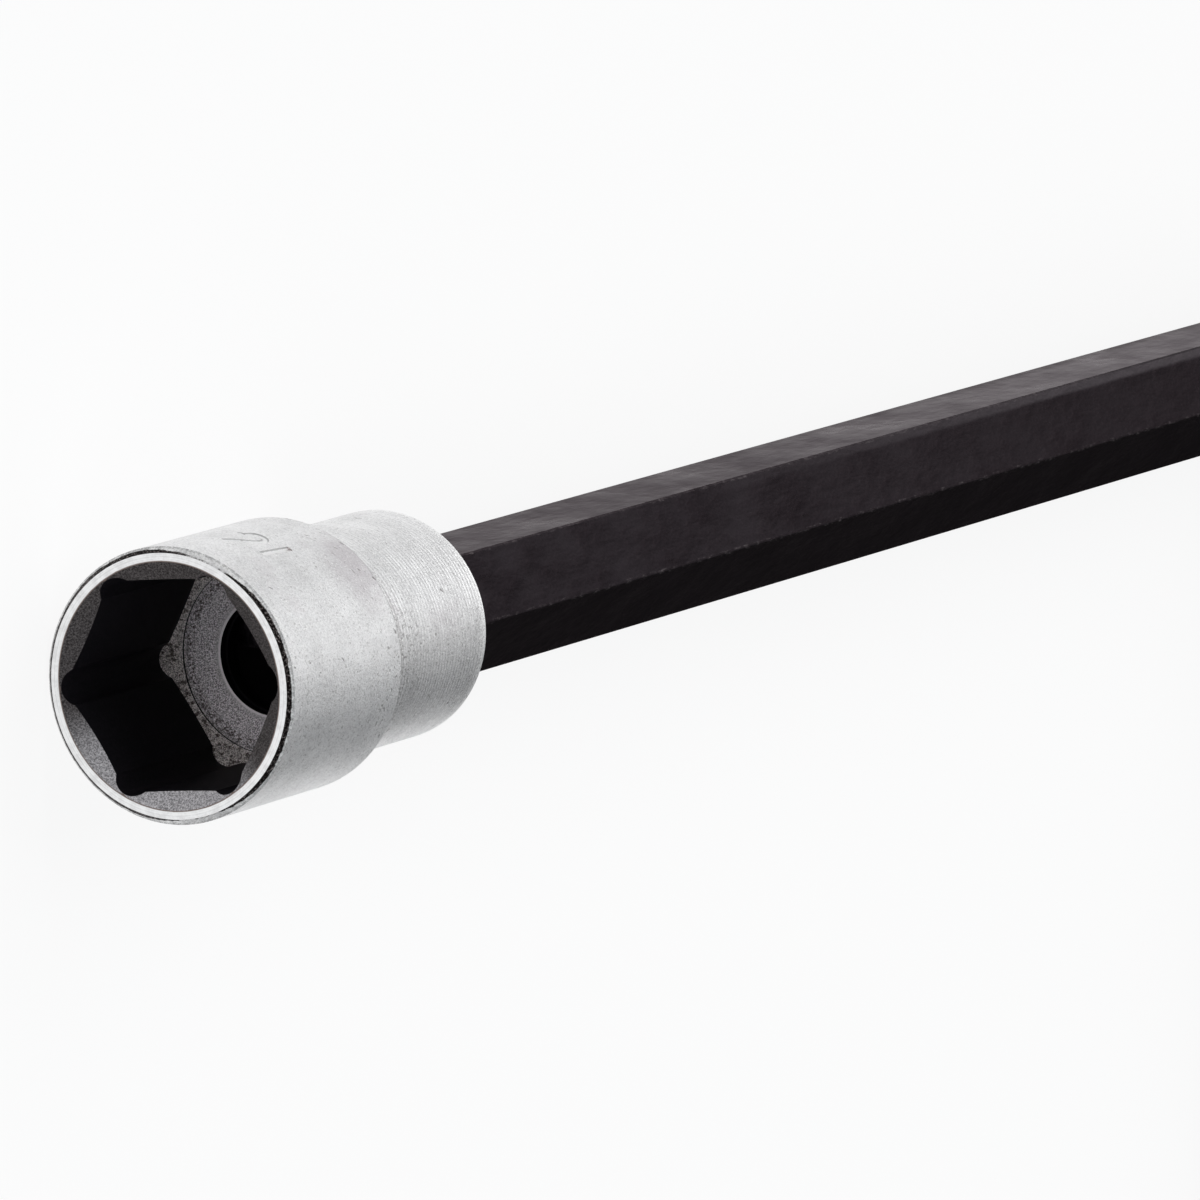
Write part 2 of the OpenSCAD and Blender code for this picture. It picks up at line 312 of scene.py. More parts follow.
def gathered(tree, place, scale, edge, reach, cut):
    """Specks that are thick at an edge of the arm and thin out over a reach."""
    share = ramp(tree, along_arm(tree, place), edge + reach, edge, 0.0, 0.22, smooth=False)
    peaks = plus(tree, noise(tree, place, scale, 3.0, 0.7), share)
    return ramp(tree, peaks, cut, cut + 0.05)


def chrome_marks(tree, place, front_end_at):
    """Pits and nicks together: 1 on a mark, 0 on clean plate."""
    marks = pits(tree, place)
    for nick in NICKS:
        marks = larger(tree, marks, scratches(tree, place, **nick))
    if front_end_at:
        near_edge = ramp(tree, along_arm(tree, place), front_end_at - 7.0, front_end_at - 1.0)
        edge_nicks = scratches(tree, place, **EDGE_NICKS)
        marks = larger(tree, marks, times(tree, edge_nicks, near_edge))
    return marks


print("marks of use ready")

# %% [markdown]
# A neck is turned, in fine rings that are not quite even. Behind the step where the wider front
# ends, the corner is darkened with painted shade and has a few dirt specks, and a dark line of
# painted shade marks the step itself. The neck's rear edge is worn bright, with painted glint on
# it. On one side, where shade falls, the chrome gets more dark specks, partly dirt and partly
# painted shade, and a neck also a thin film of painted shade there, all along an arm.
# These parts of the finish are functions of their own, so that each piece of chrome takes only
# what it has.

# %% Turned rings, stain, dirt and painted shade
GRIME_AND_SHADE = (0.13, 0.115, 0.115, 1.0)
RING_PITCH = 0.60
RINGS_MEAN = 0.7
STAIN_SIZE = 6.0
CORNER_DIRT_AND_SHADE_END = 26.5
NECK_END = 44.9
# Directions round the axis where painted shade goes: the shaded side, the corner behind the step,
# and the step's line.
SHADED_SIDE = {"middle": 103, "half_width": 26, "fade": 18}
CORNER_SHADE_SIDE = {"middle": 100, "half_width": 38, "fade": 22}
STEP_SHADE_SIDE = {"middle": 100, "half_width": 45, "fade": 15}


def turned_rings(tree, place):
    """Fine rings round an arm, uneven in depth and spacing, with a mean of about 0."""
    wave = add_node(tree, "ShaderNodeTexWave", {"Vector": place, "Scale": 0.314 / RING_PITCH,
                    "Distortion": 0.5, "Detail": 1.0, "Detail Scale": 0.6},
                    wave_type="BANDS", bands_direction="X", wave_profile="SIN").outputs["Fac"]
    uneven = noise(tree, stretched(tree, place, (1.7, 0.05, 0.05)), 1.0, 2.0, 0.6)
    both = plus(tree, times(tree, wave, 0.4), uneven)
    both = calc(tree, "SUBTRACT", both, RINGS_MEAN)
    fade = ramp(tree, noise(tree, place, 0.25, 2.0), 0.35, 0.65, 0.45, 1.0)
    return times(tree, both, fade)


def stained_at(tree, place, spot):
    """A soft cloudy patch round one spot."""
    gap = vector_calc(tree, "DISTANCE", place, spot)["Value"]
    uneven = times(tree, noise(tree, place, 0.35, 4.0, 0.65), STAIN_SIZE * 1.4)
    return ramp(tree, plus(tree, gap, uneven), STAIN_SIZE * 0.7, STAIN_SIZE * 1.9, 0.75, 0.0)


def neck_dirt_and_shade(tree, place, colour, shaded_side):
    """A neck's colour with painted shade and dirt specks behind the step, a film of painted shade
    on its shaded side, and its worn bright rear edge with painted glint.
    """
    corner_shade_side = direction_share(tree, place, **CORNER_SHADE_SIDE)
    corner_shade = ramp(tree, along_arm(tree, place), CORNER_DIRT_AND_SHADE_END + 1.1, CORNER_DIRT_AND_SHADE_END - 0.1,
                     0.0, 0.45)
    # Painted shade: a film darkens the corner behind the step and the shaded side.
    painted_shade = larger(tree, times(tree, corner_shade_side, corner_shade), times(tree, shaded_side, 0.17))
    colour = mixed(tree, painted_shade, colour, GRIME_AND_SHADE)
    # Dirt specks behind the step, denser on the side that has the painted shade.
    specks = times(tree, gathered(tree, place, 2.2, CORNER_DIRT_AND_SHADE_END, 13.0, 0.74),
                   ramp(tree, corner_shade_side, 0.0, 1.0, 0.1, 0.5))
    colour = mixed(tree, specks, colour, GRIME_AND_SHADE)
    # The worn rear edge, made brighter with painted glint.
    lighter_share = gathered(tree, place, 4.0, NECK_END, -1.6, 0.58)
    return mixed(tree, lighter_share, colour, grey(0.95))


def painted_step_shade(tree, place, clouds, front_end):
    """The dark ragged line of painted shade that ends a front on its shaded side."""
    ragged = plus(tree, along_arm(tree, place), times(tree, clouds, 0.3))
    return times(tree, ramp(tree, ragged, front_end - 0.25, front_end - 0.10),
                 direction_share(tree, place, **STEP_SHADE_SIDE))


print("rings, stain and dirt ready")

# %% [markdown]
# One function puts the chrome together. The plate's tone follows the grain, with slow clouds
# in it. A few grains are painted almost white, as painted highlights. Where digits are struck,
# the depth under the wall tells their parts: the sloped walls get painted grey shade and the
# bottom a painted bright highlight, as the real stamp looks.

# %% Satin chrome
CHROME_LIGHT = (0.92, 0.92, 0.925, 1.0)
CHROME_DARK = (0.63, 0.63, 0.635, 1.0)
CHROME_STAIN = (0.585, 0.55, 0.575, 1.0)
SKIN_DEPTH = 0.068
MARK_DEPTH = 0.03


def satin_chrome(name, turn, rings=0.0, front_end_at=None, stain_spot=None, struck_r=None):
    """Blasted and plated steel with painted glint, and more dark specks on its shaded side, partly
    painted shade. It has what the piece needs of turned rings with their dirt and painted shade,
    nicks gathered at an edge with a line of painted shade there, a stained patch, and painted
    shade and highlight on struck digits."""
    material, tree, shader = new_material(name)
    place = arm_coordinates(tree, turn)
    grain = noise(tree, place, 4.8, 3.0, 0.8)
    clouds = noise(tree, place, 0.25, 4.0, 0.6)
    tone = plus(tree, times(tree, grain, 0.7), times(tree, clouds, 0.3))
    height = grain
    if rings:
        turned = turned_rings(tree, place)
        height = plus(tree, grain, times(tree, turned, rings))
        tone = plus(tree, tone, times(tree, turned, 0.24))
    colour = mixed(tree, ramp(tree, tone, 0.38, 0.60, smooth=False), CHROME_DARK, CHROME_LIGHT)
    stain = ramp(tree, noise(tree, place, 0.13, 3.0, 0.6), 0.57, 0.74, 0.0, 0.35)
    if stain_spot:
        stain = larger(tree, stain, stained_at(tree, place, stain_spot))
    colour = mixed(tree, stain, colour, CHROME_STAIN)
    # The shaded side gets more dark specks: painted shade on top of the real dirt specks.
    shaded_side = direction_share(tree, place, **SHADED_SIDE)
    peaks = plus(tree, noise(tree, place, 2.6, 4.0, 0.85), times(tree, shaded_side, 0.035))
    colour = mixed(tree, ramp(tree, peaks, 0.57, 0.67, 0.0, 0.55), colour, GRIME_AND_SHADE)
    # Painted glint: a few grains are made almost white.
    painted_glints = ramp(tree, noise(tree, place, 5.0, 1.0), 0.63, 0.69, 0.0, 0.7)
    colour = mixed(tree, painted_glints, colour, grey(0.99))
    marks = chrome_marks(tree, place, front_end_at)
    colour = mixed(tree, times(tree, marks, 0.75), colour, NICK_COLOUR)
    if rings:
        colour = neck_dirt_and_shade(tree, place, colour, shaded_side)
    # A ragged dark line of painted shade where the front ends, on its shaded side.
    if front_end_at:
        line = painted_step_shade(tree, place, clouds, front_end_at)
        colour = mixed(tree, times(tree, line, 0.75), colour, GRIME_AND_SHADE)
    # Struck digits: painted shade on their sloped walls and a painted highlight on their bottom.
    if struck_r:
        depth = calc(tree, "SUBTRACT", struck_r / MM, from_axis(tree, place))
        painted_slope_shade = times(tree, ramp(tree, depth, 0.008, 0.02), ramp(tree, depth, 0.10, 0.15, 1.0, 0.0))
        colour = mixed(tree, times(tree, painted_slope_shade, 0.80), colour, grey(0.33))
        colour = mixed(tree, ramp(tree, depth, 0.14, 0.18, 0.0, 0.8), colour, grey(0.97))
    skin = bumped(tree, height, SKIN_DEPTH)
    marked = bumped(tree, calc(tree, "SUBTRACT", 1.0, marks), MARK_DEPTH, onto=skin)
    rough = ramp(tree, tone, 0.3, 0.7, 0.42, 0.32, smooth=False)
    set_inputs(tree, shader, {"Base Color": colour, "Metallic": 1.0, "Roughness": rough,
                              "Normal": marked})
    return material


hub_chrome = satin_chrome("satin chrome, hub", 0.0)
drive_chrome = satin_chrome("satin chrome, drive head", ARM_TURNS["drive_head"])
print("satin chrome made for the hub and the drive head")

# %% [markdown]
# The mouth is ground flat and bright, in concentric lines, and brown at its inner edge. Inside
# it the plating stops. The lead-in is cut steel under dark scale, and on one side painted light
# makes it much lighter. The hexagon's walls are black from heat treatment and so deep in shade
# that they look pure black; painted shade darkens their colour further and takes most of their
# gloss.

# %% Steel of the mouth, the lead-in and the hexagon
GROUND_DARK = (0.74, 0.74, 0.745, 1.0)
GROUND_LIGHT = (0.90, 0.905, 0.91, 1.0)
MOUTH_BROWN = (0.10, 0.06, 0.045, 1.0)
LEAD_DARK = (0.028, 0.025, 0.025, 1.0)
LEAD_LIGHT = (0.140, 0.128, 0.129, 1.0)
# Painted light: on one side the lead-in's speckle is made much lighter.
PAINTED_LIT_DARK = (0.18, 0.176, 0.184, 1.0)
PAINTED_LIT_LIGHT = (0.61, 0.597, 0.62, 1.0)
PAINTED_LIT_SIDE = {"middle": 186, "half_width": 50, "fade": 18}
BORE_DARK = (0.003, 0.003, 0.004, 1.0)
BORE_LIGHT = (0.010, 0.008, 0.011, 1.0)
LINES_PER_MM = 7.0


def ground_mouth(name, turn, lead_r):
    """The ground end: bright, with faint concentric lines and a brown inner edge."""
    material, tree, shader = new_material(name)
    place = arm_coordinates(tree, turn)
    across = from_axis(tree, place)
    lines = add_node(tree, "ShaderNodeTexNoise", {"W": times(tree, across, LINES_PER_MM),
                     "Scale": 1.0, "Detail": 2.0}, noise_dimensions="1D").outputs["Fac"]
    cloud = noise(tree, place, 1.1, 4.0, 0.7)
    tone = plus(tree, times(tree, lines, 0.25), times(tree, cloud, 0.75))
    bright = mixed(tree, ramp(tree, tone, 0.36, 0.60), GROUND_DARK, GROUND_LIGHT)
    ragged = calc(tree, "SUBTRACT", across, times(tree, cloud, 0.12))
    edge = ramp(tree, ragged, lead_r, lead_r + 0.10, 0.9, 0.0)
    set_inputs(tree, shader, {"Base Color": mixed(tree, edge, bright, MOUTH_BROWN),
                              "Metallic": 1.0, "Roughness": 0.38,
                              "Normal": bumped(tree, cloud, 0.012)})
    return material


def lead_in_steel(name, turn):
    """The lead-in: a coarse speckle, dark and matt, made much lighter on one side with painted
    light.
    """
    material, tree, shader = new_material(name)
    place = arm_coordinates(tree, turn)
    speckle = noise(tree, place, 5.5, 4.0, 0.8)
    # The side that gets the painted light.
    lighter_share = direction_share(tree, place, **PAINTED_LIT_SIDE)
    dark = mixed(tree, lighter_share, LEAD_DARK, PAINTED_LIT_DARK)
    light = mixed(tree, lighter_share, LEAD_LIGHT, PAINTED_LIT_LIGHT)
    colour = mixed(tree, ramp(tree, speckle, 0.38, 0.64), dark, light)
    set_inputs(tree, shader, {"Base Color": colour, "Metallic": 1.0, "Roughness": 0.5,
                              "Normal": bumped(tree, speckle, 0.05)})
    return material


def black_hexagon(name, turn):
    """The hexagon's walls: black scale, darkened further with painted shade and given hardly any
    gloss, so it isn't metallic.
    """
    material, tree, shader = new_material(name)
    place = arm_coordinates(tree, turn)
    speckle = noise(tree, place, 4.5, 4.0, 0.75)
    # Painted shade: the colour is nearly zero, darker than the black scale alone.
    colour = mixed(tree, ramp(tree, speckle, 0.38, 0.62), BORE_DARK, BORE_LIGHT)
    set_inputs(tree, shader, {"Base Color": colour, "Metallic": 0.0, "Roughness": 0.55,
                              "Specular IOR Level": 0.12,
                              "Normal": bumped(tree, speckle, 0.01)})
    return material


print("steel of the mouth, the lead-in and the hexagon ready")

# %% [markdown]
# The floor of a socket is grey and finely speckled. A rough brown burr lies outside the groove
# that the cutter left, and dark flecks lie just inside it. The chamfer round the mouth
# still has a dark crust of scale. As the wrench lies, it is thick on top and underneath, and
# between them it is worn to a broken line. Its edge is ragged, because a noise is added to its
# reach before the cut.

# %% Steel of the floor and the chamfer
FLOOR_DARK = (0.16, 0.145, 0.155, 1.0)
FLOOR_LIGHT = (1.0, 0.935, 0.98, 1.0)
HOLE_EDGE = (0.62, 0.59, 0.61, 1.0)
HOLE_LINE = (1.0, 0.95, 0.98, 1.0)
BURR_DARK = (0.26, 0.22, 0.215, 1.0)
BURR_LIGHT = (1.0, 0.93, 0.92, 1.0)
CRUMBS = (0.05, 0.030, 0.026, 1.0)
CRUST_DARK = (0.008, 0.006, 0.006, 1.0)
CRUST_LIGHT = (0.46, 0.41, 0.40, 1.0)
CRUST_TOP = {"middle": 88, "half_width": 50, "fade": 16}
CRUST_BELOW = {"middle": 270, "half_width": 84, "fade": 16}
CRUST_THINNED = 0.24


def floor_steel(name, turn, groove_r):
    """The floor: speckled grey, a rough brown burr outside the groove, dark flecks just
    inside it, and an even grey edge with a bright line round the hole."""
    material, tree, shader = new_material(name)
    place = arm_coordinates(tree, turn)
    across = from_axis(tree, place)
    groove = groove_r / MM
    fine = noise(tree, place, 7.0, 4.0, 0.8)
    coarse = noise(tree, place, 1.7, 4.0, 0.8)
    outside = ramp(tree, across, groove - 0.2, groove + 0.2)
    near = times(tree, ramp(tree, across, groove - 1.4, groove - 0.9),
                 ramp(tree, across, groove - 0.5, groove - 0.2, 1.0, 0.0))
    steel = mixed(tree, ramp(tree, fine, 0.41, 0.59), FLOOR_DARK, FLOOR_LIGHT)
    steel = mixed(tree, ramp(tree, across, 7.0, 6.2, 0.0, 0.7), steel, HOLE_EDGE)
    steel = mixed(tree, ramp(tree, across, 6.42, 6.24, 0.0, 0.75), steel, HOLE_LINE)
    burr = mixed(tree, ramp(tree, fine, 0.42, 0.56), BURR_DARK, BURR_LIGHT)
    colour = mixed(tree, outside, steel, burr)
    flecks = times(tree, ramp(tree, noise(tree, place, 3.4, 3.0, 0.7), 0.50, 0.56), near)
    crumbs = times(tree, ramp(tree, coarse, 0.51, 0.59), outside)
    dark_share = times(tree, larger(tree, crumbs, flecks), 0.85)
    colour = mixed(tree, dark_share, colour, CRUMBS)
    height = plus(tree, times(tree, fine, 0.3), times(tree, coarse, outside))
    set_inputs(tree, shader, {"Base Color": colour, "Metallic": 1.0, "Roughness": 0.5,
                              "Normal": bumped(tree, height, 0.14)})
    return material


def rim_scale(name, turn, wall_r):
    """The chamfer: a black crust that is thick on two sides, and a bright worn outer edge."""
    material, tree, shader = new_material(name)
    place = arm_coordinates(tree, turn)
    wall = wall_r / MM
    grit = noise(tree, place, 5.0, 4.0, 0.8)
    ragged = noise(tree, place, 1.1, 4.0, 0.75)
    across = from_axis(tree, place)
    thick = larger(tree, direction_share(tree, place, **CRUST_TOP),
                   direction_share(tree, place, **CRUST_BELOW))
    thinned = ramp(tree, thick, 0.0, 1.0, CRUST_THINNED, 0.0, smooth=False)
    reach = plus(tree, plus(tree, across, times(tree, ragged, 0.30)), thinned)
    covered = ramp(tree, reach, wall - 0.10, wall - 0.04, 1.0, 0.0)
    unbroken = ramp(tree, plus(tree, thick, ragged), 0.46, 0.58)
    near_wall = ramp(tree, across, wall - 0.25, wall - 0.1, 0.0, 0.1)
    edge_specks = ramp(tree, plus(tree, grit, near_wall), 0.56, 0.60, 0.0, 0.42)
    crust = larger(tree, times(tree, unbroken, covered), edge_specks)
    scale = mixed(tree, ramp(tree, grit, 0.53, 0.68), CRUST_DARK, CRUST_LIGHT)
    bare = mixed(tree, ramp(tree, ragged, 0.40, 0.60), CHROME_DARK, grey(0.86))
    set_inputs(tree, shader, {"Base Color": mixed(tree, crust, bare, scale), "Metallic": 1.0,
                              "Roughness": 0.5, "Normal": bumped(tree, grit, 0.14)})
    return material


print("steel of the floor and the chamfer ready")

# %% [markdown]
# A socket head needs seven of these finishes, each once for every head, because its rings and
# directions follow its own arm. They go in one dictionary, whose order is the order of the
# head's material slots.

# %% The finishes of one socket head
FRONT_L = 23.0 * MM
NUT_ROOM = 0.1
RELIEF_PAST = 0.22
GROOVE_SHARE = 9.9 / 13.9
NECK_RINGS = 1.1
STAIN_SPOTS = {"21": (21.0, 10.6, 8.9), "19": (12.0, -8.0, 10.0), "17": (17.0, 9.0, 8.5)}


def lead_radius(label):
    """Where the lead-in meets the mouth, in millimetres: just past the hexagon's corners."""
    return (int(label) + NUT_ROOM) / math.sqrt(3) + RELIEF_PAST


def head_finishes(turn, label, wall_r):
    """The seven finishes of a socket head, in the order of its material slots."""
    spot = STAIN_SPOTS[label]
    return {
        "front": satin_chrome(f"satin chrome, front {label}", turn, front_end_at=FRONT_L / MM,
                              stain_spot=spot, struck_r=wall_r),
        "neck": satin_chrome(f"satin chrome, turned neck {label}", turn, rings=NECK_RINGS,
                             stain_spot=spot),
        "mouth": ground_mouth(f"ground mouth {label}", turn, lead_radius(label)),
        "rim": rim_scale(f"dark scale on the rim {label}", turn, wall_r),
        "lead": lead_in_steel(f"grey lead-in {label}", turn),
        "bore": black_hexagon(f"black hexagon {label}", turn),
        "floor": floor_steel(f"grey floor {label}", turn, wall_r * GROOVE_SHARE),
    }


print(f"the largest mouth's inner edge is {lead_radius('21'):.2f} mm from the axis")

# %% [markdown]
# The size number is struck into each socket one digit at a time, with round-ended strokes, and
# the digits sit a little unevenly. It is real relief here, not only a bump. Each digit is a
# short curve with a round section. It is made a mesh, wrapped round the socket so that only
# the lowest part of the section reaches into the steel, and taken out of a copy of the CAD
# head with a Boolean modifier. The copy then stands for the CAD node. A CAD mesh is loose
# triangles, so the copy is merged first. It also gets a few cuts across the arm, close to the
# small rounded edges: they keep the shading of a rounded edge from spreading over the long
# wall beside it.

# %% The digits
DIGIT_W = 2.7 * MM
DIGIT_H = 5.2 * MM
STROKE_W = 0.78 * MM
STROKE_DEPTH = 0.21 * MM
STROKE_R = (STROKE_W ** 2 / 4 + STROKE_DEPTH ** 2) / (2 * STROKE_DEPTH)
DIGIT_STROKES = {
    "1": [[(0.5, 0.0), (0.5, 0.5), (0.5, 1.0)]],
    "2": [[(0.04, 0.76), (0.22, 0.97), (0.58, 1.0), (0.92, 0.86), (0.90, 0.62), (0.45, 0.28),
           (0.0, 0.0)], [(0.0, 0.0), (0.48, 0.0), (0.96, 0.0)]],
    "7": [[(0.0, 1.0), (0.5, 1.0), (0.98, 1.0)], [(0.98, 1.0), (0.60, 0.48), (0.32, 0.0)]],
    "9": [[(0.93, 0.74), (0.72, 0.52), (0.34, 0.50), (0.05, 0.66), (0.08, 0.88), (0.40, 1.0),
           (0.78, 0.95), (0.93, 0.74), (0.86, 0.34), (0.56, 0.07), (0.16, 0.0)]],
}
DIGIT_PLACES = [
    {"s": 10.5 * MM, "angle": math.radians(9.2), "lean": 0.0},
    {"s": 11.0 * MM, "angle": math.radians(22.5), "lean": math.radians(4.5)},
]


def stroke_mesh(points):
    """One smooth round-ended stroke of a digit in the XY plane."""
    curve = bpy.data.curves.new("stroke", "CURVE")
    curve.dimensions = "3D"
    curve.bevel_depth = STROKE_R
    curve.bevel_resolution = 8
    curve.resolution_u = 8
    curve.use_fill_caps = True
    spline = curve.splines.new("BEZIER")
    spline.bezier_points.add(len(points) - 1)
    for point, (x, y) in zip(spline.bezier_points, points):
        point.co = ((x - 0.5) * DIGIT_W, (y - 0.5) * DIGIT_H, 0)
        point.handle_left_type = "AUTO"
        point.handle_right_type = "AUTO"
    source = bpy.data.objects.new("stroke", curve)
    bpy.context.scene.collection.objects.link(source)
    bpy.context.view_layer.update()
    shaped = source.evaluated_get(bpy.context.evaluated_depsgraph_get())
    mesh = bpy.data.meshes.new_from_object(shaped)
    bpy.data.objects.remove(source)
    bpy.data.curves.remove(curve)
    return mesh


print("stroke radius", round(STROKE_R / MM, 3), "mm")

# %% Wrap the digits round a head and take them out
MERGE_DIST = 0.002 * MM
SMOOTH_ANGLE = math.radians(28)
SUPPORT_AT = (0.9 * MM, 22.3 * MM, 23.3 * MM, 44.3 * MM)


def wrapped_stroke(points, place, radius, turn):
    """The cutter for one stroke: bent round a head of this radius, in the model's frame."""
    shape = bmesh.new()
    mesh = stroke_mesh(points)
    shape.from_mesh(mesh)
    bpy.data.meshes.remove(mesh)
    bmesh.ops.remove_doubles(shape, verts=shape.verts, dist=1e-6)
    bmesh.ops.rotate(shape, verts=shape.verts, cent=(0, 0, 0),
                     matrix=Matrix.Rotation(-place["lean"], 3, "Z"))
    for v in shape.verts:
        angle = place["angle"] + v.co.x / radius
        out = radius + v.co.z + STROKE_R - STROKE_DEPTH
        v.co = (place["s"] + v.co.y, out * math.cos(angle), out * math.sin(angle))
    shape.transform(arm_matrix(turn))
    bmesh.ops.recalc_face_normals(shape, faces=shape.faces)
    cutter_mesh = bpy.data.meshes.new("cutter")
    shape.to_mesh(cutter_mesh)
    shape.free()
    cutter = bpy.data.objects.new("cutter", cutter_mesh)
    bpy.context.scene.collection.objects.link(cutter)
    return cutter


def apply_modifiers(thing):
    """Puts the mesh that an object's modifiers make in place of its own mesh."""
    bpy.context.view_layer.update()
    shaped = thing.evaluated_get(bpy.context.evaluated_depsgraph_get())
    mesh = bpy.data.meshes.new_from_object(shaped)
    thing.modifiers.clear()
    thing.data = mesh


def stamped_head(node, text):
    """A merged copy of a CAD head with its size number struck in."""
    low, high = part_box(node)
    radius = (high.z - low.z) / 2
    turn = ARM_TURNS[node]
    mesh = nodes[node].data.copy()
    if "custom_normal" in mesh.attributes:
        mesh.attributes.remove(mesh.attributes["custom_normal"])
    shape = bmesh.new()
    shape.from_mesh(mesh)
    bmesh.ops.remove_doubles(shape, verts=shape.verts, dist=MERGE_DIST)
    along = (arm_matrix(turn).to_3x3() @ Vector((1, 0, 0))).normalized()
    for s in SUPPORT_AT:
        parts = shape.verts[:] + shape.edges[:] + shape.faces[:]
        bmesh.ops.bisect_plane(shape, geom=parts, dist=1e-7, plane_no=along,
                               plane_co=arm_matrix(turn) @ Vector((s, 0, 0)))
    shape.to_mesh(mesh)
    shape.free()
    head = bpy.data.objects.new(f"{node}_stamped", mesh)
    bpy.context.scene.collection.objects.link(head)
    for digit, place in zip(text, DIGIT_PLACES):
        for points in DIGIT_STROKES[digit]:
            before = len(head.data.vertices)
            cutter = wrapped_stroke(points, place, radius, turn)
            cut = head.modifiers.new("stroke", "BOOLEAN")
            cut.operation = "DIFFERENCE"
            cut.solver = "EXACT"
            cut.use_self = True
            cut.object = cutter
            apply_modifiers(head)
            bpy.data.objects.remove(cutter)
            print(node, "digit", digit, "stroke adds", len(head.data.vertices) - before, "points")
    return head


print("heads are cut across for shading at", [round(s / MM, 1) for s in SUPPORT_AT], "mm")

# %% [markdown]
# Each face of the stamped head takes a finish by where it lies: how deep it is behind the
# mouth, how far it is from the axis, and which way it looks. Smooth shading then hides the
# facets of the round walls, and edges sharper than a limit stay crisp.

# %% Sort the faces of a head by their finish
NEAR = 0.03 * MM
RIM_L = 0.62 * MM
LEAD_L = 2.0 * MM
NUT_DEPTH = 20.0 * MM
FLOOR_REACH = 5.0 * MM
NECK_R = 11.8 * MM
EDGE_ROUND = 0.7 * MM
HOLE_R = 6.1 * MM
REAR_R = 8.0 * MM
SLANTED = 0.3
MOSTLY = 0.5
OUTWARD = 0.1


def face_finish(place, normal, wall_r):
    """The finish of a face, from its middle and its normal in the arm's own frame."""
    s = place.x
    away = Vector((0, place.y, place.z))
    r = away.length
    outward = normal.dot(away) / r if r > 0 else 0.0
    if s < NEAR:
        return "mouth"
    if s < RIM_L and outward > 0 and normal.x < -SLANTED:
        return "rim"
    if outward > OUTWARD and r > min(wall_r, NECK_R) - EDGE_ROUND:
        return "front" if s < FRONT_L + NEAR else "neck"
    if s < LEAD_L and normal.x < -SLANTED:
        return "lead"
    if normal.x < -MOSTLY and r > HOLE_R and s < NUT_DEPTH + FLOOR_REACH:
        return "floor"
    if normal.x > MOSTLY and r > REAR_R:
        return "neck"
    return "bore"


def dress_head(node, text):
    """Stamps a head, gives its faces their finishes and sets it on its body."""
    head = stamped_head(node, text)
    turn = ARM_TURNS[node]
    low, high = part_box(node)
    wall_r = (high.z - low.z) / 2
    finishes = head_finishes(turn, text, wall_r)
    order = list(finishes)
    mesh = head.data
    mesh.materials.clear()
    for key in order:
        mesh.materials.append(finishes[key])
    to_arm = arm_matrix(turn).inverted()
    to_arm_turn = to_arm.to_3x3()
    counts = dict.fromkeys(order, 0)
    for face in mesh.polygons:
        key = face_finish(to_arm @ face.center, to_arm_turn @ face.normal, wall_r)
        face.material_index = order.index(key)
        counts[key] += 1
    mesh.shade_smooth()
    mesh.set_sharp_from_angle(angle=SMOOTH_ANGLE)
    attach(head, nodes[node]["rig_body"])
    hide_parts(node)
    print(node, "faces by finish:", counts)


for node, text in (("socket_21", "21"), ("socket_19", "19"), ("socket_17", "17")):
    dress_head(node, text)

# %% [markdown]
# The bars are drawn hexagonal steel with a black finish, a little purple and brown. One side
# is smoother and the other stayed matt, and that matt side is also painted darker, as painted
# shade. Blackened steel is still a metal here: its base colour is nearly black, and the Specular
# Tint gives the colour of its sheen where it is seen at a low angle. The flats are not quite
# flat, so a light that grazes them shows soft clouds: a broad, very low bump makes them. Hands
# and the hub rub the ridges, so a fine sparkle of steel shows through there. A ridge is found by
# its distance from the bar's axis, and a flat by its direction: towards the hub one flat gets a
# lighter painted sheen and the next one a darker painted shade.

# %% Black bars
BAR_DARK = (0.0152, 0.0130, 0.0150, 1.0)
BAR_LIGHT = (0.0300, 0.0264, 0.0300, 1.0)
# A lighter colour for a painted sheen on one flat, and a darker one for painted shade on the matt
# side and on another flat.
BAR_PAINTED_SHEEN = (0.075, 0.068, 0.074, 1.0)
BAR_PAINTED_SHADE = (0.0100, 0.0086, 0.0095, 1.0)
BAR_SHEEN = (0.61, 0.575, 0.59, 1.0)
BAR_STEEL = (0.17, 0.152, 0.157, 1.0)
BAR_RIDGE_R = 7.425
# The two flats towards the hub: one gets a painted sheen, the next painted shade.
SHEEN_FLAT = {"middle": 8, "half_width": 29, "fade": 2}
SHADED_FLAT = {"middle": 68, "half_width": 29, "fade": 2}
FAR_FROM = 90.0
FAR_TO = 230.0


